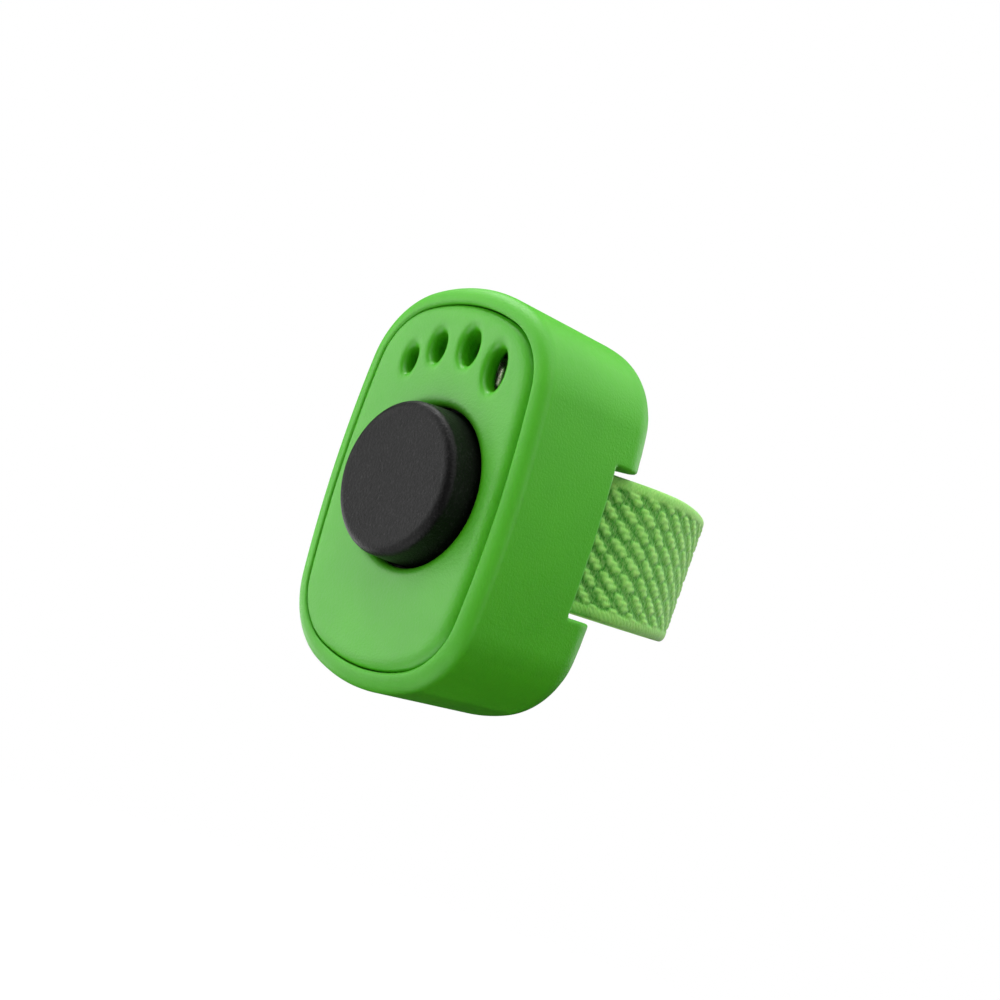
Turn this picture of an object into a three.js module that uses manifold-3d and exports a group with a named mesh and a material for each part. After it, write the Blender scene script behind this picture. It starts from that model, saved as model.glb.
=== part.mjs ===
// Finger clicker trainer: a two-part oval case with a domed push button, a spring-steel clicker plate
// behind it and an elastic finger strap at the back. Millimetres, +Z up along the case, the button facing -Y.
//
// Depths are counted along +Y from the plane of the case's front rim. The exported group is shifted so that
// the origin is the middle of the finger loop.

import * as THREE from 'three';
import { mergeVertices } from 'three/addons/utils/BufferGeometryUtils.js';
import Module from 'manifold-3d';

const wasm = await Module();
wasm.setup();

// ---- Driving dimensions ----

const CASE_HALF_WIDTH = 14.9;
const CASE_HALF_HEIGHT = 22.5;
const CASE_DEPTH = 20;
const SIDE_RADIUS = 117; // gentle outward curve of the long sides
const END_RADIUS = 23; // curve of the top and bottom ends
const CORNER_RADIUS = 10;
const DRAFT = 0.031; // the outside draws in by this much for each millimetre of depth
const RIM_WIDE = 2.0; // the front rim is rounded right across its width
const RIM_DEEP = 1.5;
const REAR_ROUNDING = 4;
const WALL = 1.8;
const FLOOR = 1.8;
const FIT_GAP = 0.3; // between pieces that rest against each other
const BEYOND = 20; // cutters run this far past what they cut

const PANEL_THICK = 2.4;
const PANEL_EDGE_WIDE = 1.7;
const PANEL_EDGE_DEEP = 0.42;

// Sound holes in an arc over the button, like four toes: centre x and z, width, height, lean in degrees
// to the right at the top.
const TOES = [
  { x: -7.5, z: 13.4, wide: 2.05, high: 3.2, lean: 3 },
  { x: -3.75, z: 15.35, wide: 2.5, high: 3.7, lean: 0 },
  { x: 1.15, z: 15.95, wide: 3.0, high: 4.3, lean: -2 },
  { x: 6.05, z: 14.2, wide: 3.2, high: 5.1, lean: -4 },
];
const TOE_FLARE = 0.3;
const COLLAR_THICK = 0.7; // all but the last hole are lengthened by a collar behind the panel
const COLLAR_END = 3.2;

const BUTTON_TOP_RADIUS = 8.68;
const BUTTON_RADIUS = 8.8;
const BUTTON_PROUD = 3.5; // how far it stands in front of the rim plane
const BUTTON_EDGE = 0.95; // rounding of the top edge
const BUTTON_SKIRT_END = 3.0;
const BUTTON_CAP_THICK = 1.7;
const BUTTON_SKIRT_THICK = 1.5;
const BUTTON_STEM_RADIUS = 2.2;
const BUTTON_STEM_END = 6.0;
const BUTTON_HOLE_GAP = 0.3;
const BUTTON_HOLE_FLARE = 1.0;
const LUG_REACH = 10.4; // the two retaining lugs end this far from the button's axis
const LUG_WIDE = 9;
const LUG_THICK = 0.8;

const PLATE_THICK = 0.4;
const PLATE_FRONT = 7.1;
const PLATE_WIDE = 12;
const PLATE_CORNER = 2.5;
const PLATE_TOP = 16.5;
const PLATE_BOTTOM = -18.4;
const BEND_Z = -11.8; // the tongue flexes about this line
const DIMPLE_RADIUS = 3.6;
const DIMPLE_HIGH = 0.8;
// Stiffening bead pressed forward out of the tongue, seen through the largest sound hole.
const BEAD = { x: 2.0, y: 5.1, z: 14.0, radius: 1.5, long: 1.6 };

const CLAMP_THICK = 1.5;
const CLAMP_HIGH = 5.4;
const CLAMP_WIDE = 14.4;
const CLAMP_CORNER = 1.2;
const PLATE_SCREW_X = 4.3;
const PLATE_SCREW_Z = -15.3;
const PLATE_SCREW_LONG = 6.2;
const PLATE_POST_RADIUS = 1.8;
const PLATE_HOLE_RADIUS = 1.15;

const CASE_SCREW_X = 10.6;
const CASE_SCREW_Z = 12.6;
const CASE_SCREW_SEAT = 9.0;
const CASE_SCREW_LONG = 5.9;
const SCREW_PASSAGE_RADIUS = 1.3;
const PILOT_RADIUS = 1.05;
const PILOT_START = 2.9;
const SCREW_HEAD = { radius: 1.75, high: 1.3, rounding: 0.6 };
const SCREW_SHANK = { radius: 0.8, tip: 0.25, taper: 1.2 };
const CROSS_RECESS = { reach: 0.95, half: 0.2, deep: 0.8 };
const BOSS_RADIUS = 1.65;
const POST_RADIUS = 2.9;
const POST_START = 6.2;
const COUNTERBORE_RADIUS = 2.1;

const CHANNEL_FLOOR = 14.1; // outer floor of the recess that the strap leaves the case through
const CHANNEL_HALF = 8.6;
const SLOT_INNER = 10.15;
const SLOT_OUTER = 12.3;
const SLOT_HALF = 8.3;

const STRAP_WIDE = 15.8;
const STRAP_THICK = 1.5;
const STRAP_ROOT_X = 11.25; // centre line of the straight legs in the slots
const STRAP_WIDEST_X = 14.2;
const STRAP_WIDEST_Y = 23;
const STRAP_REAR_Y = 39.25;
const STRAP_LEAVES_Y = 14.5;
const STRAP_EASE = { leaving: 3.5, before: 4.1, after: 8.9, rear: 8.4 }; // lengths of the curve's handles
const EYE_X = 9.3; // each end is folded round a pin
const EYE_Y = 8.0;
const PIN_RADIUS = 0.9;
const PIN_LONG = 17.4;
const STITCHING = { thick: 0.4, y0: 11.0, y1: 12.0, half: 6.8 };

const LOOP_CENTRE_Y = 29; // middle of the finger space, which becomes the origin

// ---- Materials ----

const green = new THREE.MeshStandardMaterial({ color: 0x4fb238, roughness: 0.45 });
const black = new THREE.MeshStandardMaterial({ color: 0x26262a, roughness: 0.6 });
const steel = new THREE.MeshStandardMaterial({ color: 0xc4c6c8, roughness: 0.25, metalness: 1 });
const zinc = new THREE.MeshStandardMaterial({ color: 0x9a9ca0, roughness: 0.35, metalness: 1 });
const elastic = new THREE.MeshStandardMaterial({ color: 0x86cf62, roughness: 0.9 });
const thread = new THREE.MeshStandardMaterial({ color: 0x6fc04e, roughness: 0.85 });

// ---- Solids ----

// A closed three.js geometry as a solid that can be joined and cut.
function solid(geometry) {
  const bare = new THREE.BufferGeometry();
  const flat = geometry.index ? geometry.toNonIndexed() : geometry;
  bare.setAttribute('position', flat.getAttribute('position'));
  const merged = mergeVertices(bare, 1e-4);
  const corners = merged.index.array;
  const kept = [];
  for (let i = 0; i < corners.length; i += 3) {
    const [a, b, c] = corners.slice(i, i + 3);
    if (a !== b && b !== c && c !== a) {
      kept.push(a, b, c);
    }
  }
  return new wasm.Manifold(new wasm.Mesh({
    numProp: 3,
    vertProperties: merged.getAttribute('position').array,
    triVerts: new Uint32Array(kept),
  }));
}

function piece(name, body, material) {
  const mesh = body.getMesh();
  const geometry = new THREE.BufferGeometry();
  geometry.setAttribute('position', new THREE.BufferAttribute(mesh.vertProperties, 3));
  geometry.setIndex(new THREE.BufferAttribute(mesh.triVerts, 1));
  geometry.computeVertexNormals();
  const result = new THREE.Mesh(geometry, material);
  result.name = name;
  return result;
}

// Draws a geometry in as its depth grows, or out in front of the middle of the case.
function draftGeometry(geometry) {
  const position = geometry.getAttribute('position');
  for (let i = 0; i < position.count; i += 1) {
    const inwards = DRAFT * (position.getY(i) - CASE_DEPTH / 2);
    position.setX(i, position.getX(i) * (1 - inwards / CASE_HALF_WIDTH));
    position.setZ(i, position.getZ(i) * (1 - inwards / CASE_HALF_HEIGHT));
  }
}

// A shape drawn in X and Z, filled from depth y0 to y1. Both edges are rounded where wide and deep are given.
function slab(shape, y0, y1, options = {}) {
  const { wide = 0, deep = 0, segments = 3, curveSegments = 3, drafted = false } = options;
  const geometry = new THREE.ExtrudeGeometry(shape, {
    depth: y1 - y0 - 2 * deep,
    bevelEnabled: deep > 0,
    bevelThickness: deep,
    bevelSize: wide,
    bevelOffset: -wide,
    bevelSegments: segments,
    curveSegments,
  });
  geometry.rotateX(Math.PI / 2);
  geometry.translate(0, y1 - deep, 0);
  if (drafted) {
    draftGeometry(geometry);
  }
  return solid(geometry);
}

function block(x0, x1, y0, y1, z0, z1) {
  const geometry = new THREE.BoxGeometry(x1 - x0, y1 - y0, z1 - z0);
  geometry.translate((x0 + x1) / 2, (y0 + y1) / 2, (z0 + z1) / 2);
  return solid(geometry);
}

// A turned solid about an axis along Y. The profile is radius and depth, with depth growing up the outside.
function turned(profile, segments, x = 0, z = 0) {
  const geometry = new THREE.LatheGeometry(profile.map(([r, y]) => new THREE.Vector2(r, y)), segments);
  geometry.translate(x, 0, z);
  return solid(geometry);
}

function rod(radius, y0, y1, x, z, segments = 16) {
  return turned([[0, y0], [radius, y0], [radius, y1], [0, y1]], segments, x, z);
}

// Points on a quarter round from angle `from` to `to`, in degrees, about a centre.
function quarter(centreR, centreY, radius, from, to, steps) {
  const points = [];
  for (let i = 0; i <= steps; i += 1) {
    const angle = THREE.MathUtils.degToRad(from + ((to - from) * i) / steps);
    points.push([centreR + radius * Math.cos(angle), centreY + radius * Math.sin(angle)]);
  }
  return points;
}

// The four corners of a rectangle about the case's centre, as signs of x and z with their names.
const CORNERS = [
  { name: 'top_left', sx: -1, sz: 1 },
  { name: 'top_right', sx: 1, sz: 1 },
  { name: 'bottom_left', sx: -1, sz: -1 },
  { name: 'bottom_right', sx: 1, sz: -1 },
];
const SIDES = [
  { name: 'left', side: -1 },
  { name: 'right', side: 1 },
];

// ---- Case outline ----

// Centre of the corner arc that touches the side arc and the end arc from inside.
function cornerCentre() {
  const side = new THREE.Vector2(CASE_HALF_WIDTH - SIDE_RADIUS, 0);
  const end = new THREE.Vector2(0, CASE_HALF_HEIGHT - END_RADIUS);
  const fromSide = SIDE_RADIUS - CORNER_RADIUS;
  const fromEnd = END_RADIUS - CORNER_RADIUS;
  const apart = side.distanceTo(end);
  const along = (fromSide ** 2 - fromEnd ** 2 + apart ** 2) / (2 * apart);
  const across = Math.sqrt(fromSide ** 2 - along ** 2);
  const direction = end.clone().sub(side).normalize();
  const normal = new THREE.Vector2(-direction.y, direction.x);
  return side.addScaledVector(direction, along).addScaledVector(normal, across);
}

// Oval of eight tangent arcs, pulled in by `inset` from the outside of the case.
function caseOutline(inset) {
  const sideX = CASE_HALF_WIDTH - SIDE_RADIUS;
  const endZ = CASE_HALF_HEIGHT - END_RADIUS;
  const corner = cornerCentre();
  const sideTurn = Math.atan2(corner.y, corner.x - sideX);
  const endTurn = Math.atan2(corner.y - endZ, corner.x);
  const shape = new THREE.Shape();
  const { PI } = Math;
  shape.absarc(sideX, 0, SIDE_RADIUS - inset, -sideTurn, sideTurn);
  shape.absarc(corner.x, corner.y, CORNER_RADIUS - inset, sideTurn, endTurn);
  shape.absarc(0, endZ, END_RADIUS - inset, endTurn, PI - endTurn);
  shape.absarc(-corner.x, corner.y, CORNER_RADIUS - inset, PI - endTurn, PI - sideTurn);
  shape.absarc(-sideX, 0, SIDE_RADIUS - inset, PI - sideTurn, PI + sideTurn);
  shape.absarc(-corner.x, -corner.y, CORNER_RADIUS - inset, PI + sideTurn, PI + endTurn);
  shape.absarc(0, -endZ, END_RADIUS - inset, PI + endTurn, 2 * PI - endTurn);
  shape.absarc(corner.x, -corner.y, CORNER_RADIUS - inset, 2 * PI - endTurn, 2 * PI - sideTurn);
  return shape;
}

// ---- Case shell ----

// Deep tub: rounded front rim, closed back, and a recess right across the back that the strap comes out of.
function caseShell() {
  const rim = { wide: RIM_WIDE, deep: RIM_DEEP, drafted: true };
  const rear = { wide: REAR_ROUNDING, deep: REAR_ROUNDING, drafted: true };
  const outside = slab(caseOutline(0), 0, CASE_DEPTH + BEYOND, rim)
    .intersect(slab(caseOutline(0), -BEYOND, CASE_DEPTH, rear));
  const channelInside = CHANNEL_FLOOR - FLOOR;
  const channelWall = CHANNEL_HALF + FLOOR;
  const cavity = slab(caseOutline(WALL), -1, CASE_DEPTH - FLOOR)
    .subtract(block(-BEYOND, BEYOND, channelInside, CASE_DEPTH, -channelWall, channelWall));
  let shell = outside.subtract(cavity)
    .subtract(block(-BEYOND, BEYOND, CHANNEL_FLOOR, CASE_DEPTH + 1, -CHANNEL_HALF, CHANNEL_HALF));
  const slot = block(SLOT_INNER, SLOT_OUTER, channelInside - 1, CHANNEL_FLOOR + 1, -SLOT_HALF, SLOT_HALF);
  shell = shell.subtract(slot).subtract(slot.mirror([1, 0, 0]));
  for (const { sx, sz } of CORNERS) {
    const [x, z] = [sx * CASE_SCREW_X, sz * CASE_SCREW_Z];
    shell = shell.add(rod(POST_RADIUS, POST_START, CASE_DEPTH - 1, x, z, 20).intersect(outside))
      .subtract(rod(COUNTERBORE_RADIUS, CASE_SCREW_SEAT, CASE_DEPTH + 1, x, z))
      .subtract(rod(SCREW_PASSAGE_RADIUS, POST_START - 1, CASE_SCREW_SEAT + 1, x, z));
  }
  return piece('case_shell', shell, green);
}

// ---- Face panel ----

function toeShape({ x, z, wide, high, lean }, grow) {
  const turn = THREE.MathUtils.degToRad(-lean);
  const shape = new THREE.Shape();
  shape.absellipse(x, z, wide / 2 + grow, high / 2 + grow, 0, 2 * Math.PI, false, turn);
  return shape;
}

function toeCutter(toe) {
  const straight = slab(toeShape(toe, 0), -1, COLLAR_END + 1, { curveSegments: 8 });
  const flare = slab(toeShape(toe, TOE_FLARE), -TOE_FLARE, TOE_FLARE, {
    wide: TOE_FLARE,
    deep: TOE_FLARE,
    segments: 1,
    curveSegments: 8,
  });
  return straight.add(flare);
}

// The round hole for the button, with a soft dished mouth.
function buttonHole() {
  const radius = BUTTON_RADIUS + BUTTON_HOLE_GAP;
  const flare = BUTTON_HOLE_FLARE;
  const mouth = quarter(radius + flare, flare, flare, 180, 270, 4).reverse();
  const above = [[0, -1], [radius + BUTTON_HOLE_FLARE, -1]];
  const below = [[radius, PANEL_THICK + 1], [0, PANEL_THICK + 1]];
  return turned([...above, ...mouth, ...below], 40);
}

// Inset front cover with a rounded edge, the sound holes, the button hole, screw bosses and plate posts.
function facePanel() {
  const outline = caseOutline(WALL + FIT_GAP);
  let panel = slab(outline, 0, 2 * PANEL_THICK, { wide: PANEL_EDGE_WIDE, deep: PANEL_EDGE_DEEP })
    .intersect(slab(outline, -1, PANEL_THICK));
  for (const { sx, sz } of CORNERS) {
    const [x, z] = [sx * CASE_SCREW_X, sz * CASE_SCREW_Z];
    const boss = rod(BOSS_RADIUS, PANEL_THICK - 1, POST_START - FIT_GAP, x, z)
      .intersect(slab(outline, -1, POST_START));
    panel = panel.add(boss).subtract(rod(PILOT_RADIUS, PILOT_START, POST_START, x, z, 12));
  }
  for (const { side } of SIDES) {
    const x = side * PLATE_SCREW_X;
    panel = panel.add(rod(PLATE_POST_RADIUS, PANEL_THICK - 1, PLATE_FRONT - FIT_GAP, x, PLATE_SCREW_Z))
      .subtract(rod(PILOT_RADIUS, PILOT_START, PLATE_FRONT, x, PLATE_SCREW_Z, 12));
  }
  panel = panel.subtract(buttonHole());
  for (const toe of TOES.slice(0, -1)) {
    panel = panel.add(slab(toeShape(toe, COLLAR_THICK), PANEL_THICK - 1, COLLAR_END, { curveSegments: 8 }));
  }
  for (const toe of TOES) {
    panel = panel.subtract(toeCutter(toe));
  }
  return piece('face_panel', panel, green);
}

// ---- Button ----

// Hollow cap with a central stem that reaches the clicker plate, and two lugs behind the panel.
function button() {
  const top = -BUTTON_PROUD;
  const inside = top + BUTTON_CAP_THICK;
  const skirtInner = BUTTON_RADIUS - BUTTON_SKIRT_THICK;
  const edge = quarter(BUTTON_TOP_RADIUS - BUTTON_EDGE, top + BUTTON_EDGE, BUTTON_EDGE, -90, -8, 5);
  const stemTip = quarter(0, BUTTON_STEM_END - BUTTON_STEM_RADIUS, BUTTON_STEM_RADIUS, 0, 90, 4);
  const cap = turned([
    [0, top],
    ...edge,
    [BUTTON_RADIUS, 0],
    [BUTTON_RADIUS, BUTTON_SKIRT_END],
    [skirtInner, BUTTON_SKIRT_END],
    [skirtInner, inside],
    [BUTTON_STEM_RADIUS, inside],
    ...stemTip.slice(0, -1),
    [0, BUTTON_STEM_END],
  ], 40);
  const lugStart = PANEL_THICK + FIT_GAP;
  const ring = turned([
    [skirtInner, lugStart],
    [LUG_REACH, lugStart],
    [LUG_REACH, lugStart + LUG_THICK],
    [skirtInner, lugStart + LUG_THICK],
    [skirtInner, lugStart],
  ], 40);
  const lugs = ring.intersect(block(-LUG_WIDE / 2, LUG_WIDE / 2, 0, BEYOND, -BEYOND, BEYOND));
  return piece('button', cap.add(lugs), black);
}

// ---- Clicker plate ----

function rectangle(x0, x1, z0, z1, radius) {
  const shape = new THREE.Shape();
  const { PI } = Math;
  shape.absarc(x1 - radius, z1 - radius, radius, 0, PI / 2);
  shape.absarc(x0 + radius, z1 - radius, radius, PI / 2, PI);
  shape.absarc(x0 + radius, z0 + radius, radius, PI, 1.5 * PI);
  shape.absarc(x1 - radius, z0 + radius, radius, 1.5 * PI, 2 * PI);
  return shape;
}

// Free part of the plate: it flexes about the bend line when the stem presses its stamped dimple.
function plateTongue() {
  const half = PLATE_WIDE / 2;
  const back = PLATE_FRONT + PLATE_THICK;
  const ball = (DIMPLE_RADIUS ** 2 + DIMPLE_HIGH ** 2) / (2 * DIMPLE_HIGH);
  const spread = THREE.MathUtils.radToDeg(Math.asin(DIMPLE_RADIUS / ball));
  const centre = PLATE_FRONT - DIMPLE_HIGH + ball;
  const crown = quarter(0, centre, ball, -90, -90 + spread, 4).slice(1);
  const hollow = quarter(0, centre, ball - PLATE_THICK, -90 + spread, -90, 4).slice(0, -1);
  const brim = DIMPLE_RADIUS + 0.3;
  const dimple = turned([
    [0, PLATE_FRONT - DIMPLE_HIGH],
    ...crown,
    [brim, PLATE_FRONT],
    [brim, back],
    ...hollow,
    [0, PLATE_FRONT - DIMPLE_HIGH + PLATE_THICK],
  ], 24);
  const outline = rectangle(-half, half, BEND_Z + FIT_GAP / 2, PLATE_TOP, PLATE_CORNER);
  const sheet = slab(outline, PLATE_FRONT, back);
  const squareFoot = block(-half, half, PLATE_FRONT, back, BEND_Z + FIT_GAP / 2, BEND_Z + 4);
  const crest = new THREE.CapsuleGeometry(BEAD.radius, BEAD.long, 5, 20);
  crest.rotateX(Math.PI / 2);
  crest.translate(BEAD.x, BEAD.y, BEAD.z);
  const reach = BEAD.long / 2 + BEAD.radius;
  const root = rectangle(-BEAD.radius, BEAD.radius, -reach, reach, BEAD.radius);
  const stalk = slab(root, BEAD.y, PLATE_FRONT + PLATE_THICK / 2, { curveSegments: 5 });
  const bead = solid(crest).add(stalk.translate([BEAD.x, 0, BEAD.z]));
  const tongue = sheet.add(squareFoot)
    .subtract(rod(DIMPLE_RADIUS, PLATE_FRONT - 1, back + 1, 0, 0, 24))
    .add(dimple)
    .add(bead);
  return piece('clicker_plate_tongue', tongue, steel);
}

// Clamped end of the same sheet, with its two screw holes.
function plateClampedEnd() {
  const half = PLATE_WIDE / 2 + 1;
  const back = PLATE_FRONT + PLATE_THICK;
  let sheet = block(-half, half, PLATE_FRONT, back, PLATE_BOTTOM, BEND_Z - FIT_GAP / 2);
  for (const { side } of SIDES) {
    const hole = rod(PLATE_HOLE_RADIUS, PLATE_FRONT - 1, back + 1, side * PLATE_SCREW_X, PLATE_SCREW_Z);
    sheet = sheet.subtract(hole);
  }
  return piece('clicker_plate_clamped_end', sheet, steel);
}

function clampBar() {
  const half = CLAMP_WIDE / 2;
  const front = PLATE_FRONT + PLATE_THICK + FIT_GAP;
  const back = front + CLAMP_THICK;
  const low = PLATE_SCREW_Z - CLAMP_HIGH / 2;
  let bar = slab(rectangle(-half, half, low, low + CLAMP_HIGH, CLAMP_CORNER), front, back);
  for (const { side } of SIDES) {
    bar = bar.subtract(rod(PLATE_HOLE_RADIUS, front - 1, back + 1, side * PLATE_SCREW_X, PLATE_SCREW_Z));
  }
  return piece('plate_clamp_bar', bar, black);
}

// ---- Fasteners ----

// Pan-head self-tapping screw driven towards -Y, with a cross recess. `seat` is the depth under its head.
function screw(name, x, z, seat, length) {
  const { radius, high, rounding } = SCREW_HEAD;
  const top = seat + high;
  const tip = seat - length;
  const body = turned([
    [0, tip],
    [SCREW_SHANK.tip, tip],
    [SCREW_SHANK.radius, tip + SCREW_SHANK.taper],
    [SCREW_SHANK.radius, seat],
    [radius, seat],
    ...quarter(radius - rounding, top - rounding, rounding, 0, 90, 3),
    [0, top],
  ], 16, x, z);
  const { reach, half, deep } = CROSS_RECESS;
  const cross = block(x - reach, x + reach, top - deep, top + 1, z - half, z + half)
    .add(block(x - half, x + half, top - deep, top + 1, z - reach, z + reach));
  return piece(name, body.subtract(cross), zinc);
}

function caseScrews() {
  const seat = CASE_SCREW_SEAT + FIT_GAP;
  return CORNERS.map(({ name, sx, sz }) => (
    screw(`case_screw_${name}`, sx * CASE_SCREW_X, sz * CASE_SCREW_Z, seat, CASE_SCREW_LONG)
  ));
}

function plateScrews() {
  const seat = PLATE_FRONT + PLATE_THICK + CLAMP_THICK + 2 * FIT_GAP;
  return SIDES.map(({ name, side }) => (
    screw(`plate_screw_${name}`, side * PLATE_SCREW_X, PLATE_SCREW_Z, seat, PLATE_SCREW_LONG)
  ));
}

// ---- Finger strap ----

// Centre line of the right half of the loop, from its end in the case to the middle of its rear.
function strapHalf() {
  const path = new THREE.CurvePath();
  const point = (x, y) => new THREE.Vector2(x, y);
  const leaves = point(STRAP_ROOT_X, STRAP_LEAVES_Y);
  const widest = point(STRAP_WIDEST_X, STRAP_WIDEST_Y);
  const rear = point(0, STRAP_REAR_Y);
  const flank = new THREE.CubicBezierCurve(
    leaves,
    point(STRAP_ROOT_X, STRAP_LEAVES_Y + STRAP_EASE.leaving),
    point(STRAP_WIDEST_X, STRAP_WIDEST_Y - STRAP_EASE.before),
    widest,
  );
  const bow = new THREE.CubicBezierCurve(
    widest,
    point(STRAP_WIDEST_X, STRAP_WIDEST_Y + STRAP_EASE.after),
    point(STRAP_EASE.rear, STRAP_REAR_Y),
    rear,
  );
  path.add(new THREE.LineCurve(point(STRAP_ROOT_X, EYE_Y), leaves));
  path.add(flank);
  path.add(bow);
  return path.getPoints(9);
}

// A band of even thickness along a line of points.
function band(points, thickness) {
  const sideOf = (offset) => points.map((p, i) => {
    const before = points[Math.max(i - 1, 0)];
    const after = points[Math.min(i + 1, points.length - 1)];
    const along = after.clone().sub(before).normalize();
    return new THREE.Vector2(p.x + along.y * offset, p.y - along.x * offset);
  });
  const outer = sideOf(thickness / 2);
  const inner = sideOf(-thickness / 2);
  return new THREE.Shape([...outer, ...inner.reverse()]);
}

// A shape drawn in X and Y, filled over the strap's width in Z.
function alongStrap(shape, wide, curveSegments = 10) {
  const geometry = new THREE.ExtrudeGeometry(shape, { depth: wide, bevelEnabled: false, curveSegments });
  geometry.translate(0, 0, -wide / 2);
  return solid(geometry);
}

function fingerStrap() {
  const right = strapHalf();
  const left = right.slice(0, -1).reverse().map((p) => new THREE.Vector2(-p.x, p.y));
  let strap = alongStrap(band([...right, ...left], STRAP_THICK), STRAP_WIDE);
  for (const { side } of SIDES) {
    const eye = new THREE.Shape();
    eye.absarc(side * EYE_X, EYE_Y, STRAP_ROOT_X - EYE_X + STRAP_THICK / 2, 0, 2 * Math.PI);
    const bore = new THREE.Shape();
    bore.absarc(side * EYE_X, EYE_Y, STRAP_ROOT_X - EYE_X - STRAP_THICK / 2, 0, 2 * Math.PI);
    strap = strap.add(alongStrap(eye, STRAP_WIDE)).subtract(alongStrap(bore, STRAP_WIDE + 1));
  }
  return piece('finger_strap', strap, elastic);
}

function anchorPins() {
  return SIDES.map(({ name, side }) => {
    const geometry = new THREE.CylinderGeometry(PIN_RADIUS, PIN_RADIUS, PIN_LONG, 16);
    geometry.rotateX(Math.PI / 2);
    geometry.translate(side * EYE_X, EYE_Y, 0);
    return piece(`strap_anchor_pin_${name}`, solid(geometry), zinc);
  });
}

// Row of thread that closes each folded end, on the inner face of the leg.
function stitching() {
  const { thick, y0, y1, half } = STITCHING;
  const middle = STRAP_ROOT_X - STRAP_THICK / 2 - FIT_GAP - thick / 2;
  return SIDES.map(({ name, side }) => {
    const x = side * middle;
    return piece(`strap_stitching_${name}`, block(x - thick / 2, x + thick / 2, y0, y1, -half, half), thread);
  });
}

// ---- Assembly ----

const clicker = new THREE.Group();
clicker.add(caseShell(), facePanel(), button());
clicker.add(plateClampedEnd(), plateTongue(), clampBar());
clicker.add(...plateScrews(), ...caseScrews());
clicker.add(fingerStrap(), ...anchorPins(), ...stitching());
clicker.position.y = -LOOP_CENTRE_Y;

export default clicker;
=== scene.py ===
import math

import bmesh
import bpy
import numpy as np
from mathutils import Matrix, Vector


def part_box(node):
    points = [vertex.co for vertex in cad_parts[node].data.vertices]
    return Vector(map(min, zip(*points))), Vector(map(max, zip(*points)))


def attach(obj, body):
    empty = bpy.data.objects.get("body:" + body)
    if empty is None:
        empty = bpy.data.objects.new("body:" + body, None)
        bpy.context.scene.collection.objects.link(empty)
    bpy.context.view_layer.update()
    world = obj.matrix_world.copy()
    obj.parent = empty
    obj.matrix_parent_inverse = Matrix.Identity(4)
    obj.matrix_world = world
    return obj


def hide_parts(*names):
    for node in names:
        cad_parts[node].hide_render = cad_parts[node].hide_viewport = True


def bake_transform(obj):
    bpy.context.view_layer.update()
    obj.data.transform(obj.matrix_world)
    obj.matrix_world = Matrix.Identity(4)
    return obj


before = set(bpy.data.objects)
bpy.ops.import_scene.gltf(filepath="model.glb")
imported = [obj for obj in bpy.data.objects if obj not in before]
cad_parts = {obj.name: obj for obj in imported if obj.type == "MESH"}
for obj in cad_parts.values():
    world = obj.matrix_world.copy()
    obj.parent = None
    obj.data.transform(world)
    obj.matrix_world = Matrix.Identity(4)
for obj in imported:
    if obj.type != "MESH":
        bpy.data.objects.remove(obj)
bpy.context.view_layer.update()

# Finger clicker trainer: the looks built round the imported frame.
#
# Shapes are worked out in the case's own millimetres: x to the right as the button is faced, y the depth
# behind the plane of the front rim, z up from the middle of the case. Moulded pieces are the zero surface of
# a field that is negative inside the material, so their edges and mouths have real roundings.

MM = 0.001
case_low, case_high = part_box("case_shell")
strap_low, strap_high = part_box("finger_strap")
FRONT_Y = case_low.y / MM

# ---- Sizes ----

DEPTH = (case_high.y - case_low.y) / MM
SIDE_RADIUS, END_RADIUS, CORNER_RADIUS = 117.0, 23.0, 10.0
DRAFT = 0.031  # how fast the outside draws in towards the back
RIM_WIDE, RIM_DEEP = 1.72, 1.5
# The case is widest where the rounding of its rim ends; these are its half sizes at the middle of its depth.
HALF_WIDTH = (case_high.x - case_low.x) / 2 / MM - DRAFT * (DEPTH / 2 - RIM_DEEP)
HALF_HEIGHT = (case_high.z - case_low.z) / 2 / MM - DRAFT * (DEPTH / 2 - RIM_DEEP)
REAR_ROUNDING = 4.0
WALL, FLOOR, FIT_GAP = 1.88, 1.8, 0.3
SEAM = 0.12  # gap between the panel and the rim
PANEL_THICK = 2.4
PANEL_EDGE_WIDE, PANEL_EDGE_DEEP = 1.8, 0.62
# The panel's edge is rounded more at the right of the panel than in the middle, and less at the left.
PANEL_EDGE_WIDER, PANEL_EDGE_DEEPER = 0.2, 0.5
PANEL_HALF_WIDTH = 12.5
PANEL_SHIFT = 0.06  # how far the panel lies to the left in its opening
PANEL_BACK_EDGE = 0.3
COLLAR_END, COLLAR_THICK, COLLAR_FILLET = 3.2, 0.7, 0.3
# Sound holes: centre x and z, width, height, and lean to the right at the top in degrees.
TOES = (
    (-7.5, 13.4, 1.7, 2.95, 3),
    (-3.75, 15.35, 2.15, 3.45, 0),
    (1.15, 15.95, 2.65, 4.05, -2),
    (6.05, 14.2, 2.85, 4.85, -4),
)
TOE_ROUNDING = 0.95

BUTTON_PROUD, BUTTON_TOP_RADIUS, BUTTON_RADIUS = 3.5, 8.68, 8.8
BUTTON_SKIRT_END, BUTTON_SKIRT_THICK, BUTTON_CAP_THICK = 3.0, 1.5, 1.7
BUTTON_EDGE_WIDE, BUTTON_EDGE_DEEP = 1.15, 0.95
BUTTON_DISH, BUTTON_DISH_RADIUS = 0.12, 7.6
STEM_RADIUS, STEM_END = 2.2, 6.0
HOLE_RADIUS, HOLE_ROUNDING = BUTTON_RADIUS + 0.3, 1.2
LUG_REACH, LUG_WIDE, LUG_THICK = 10.4, 9.0, 0.8

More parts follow.
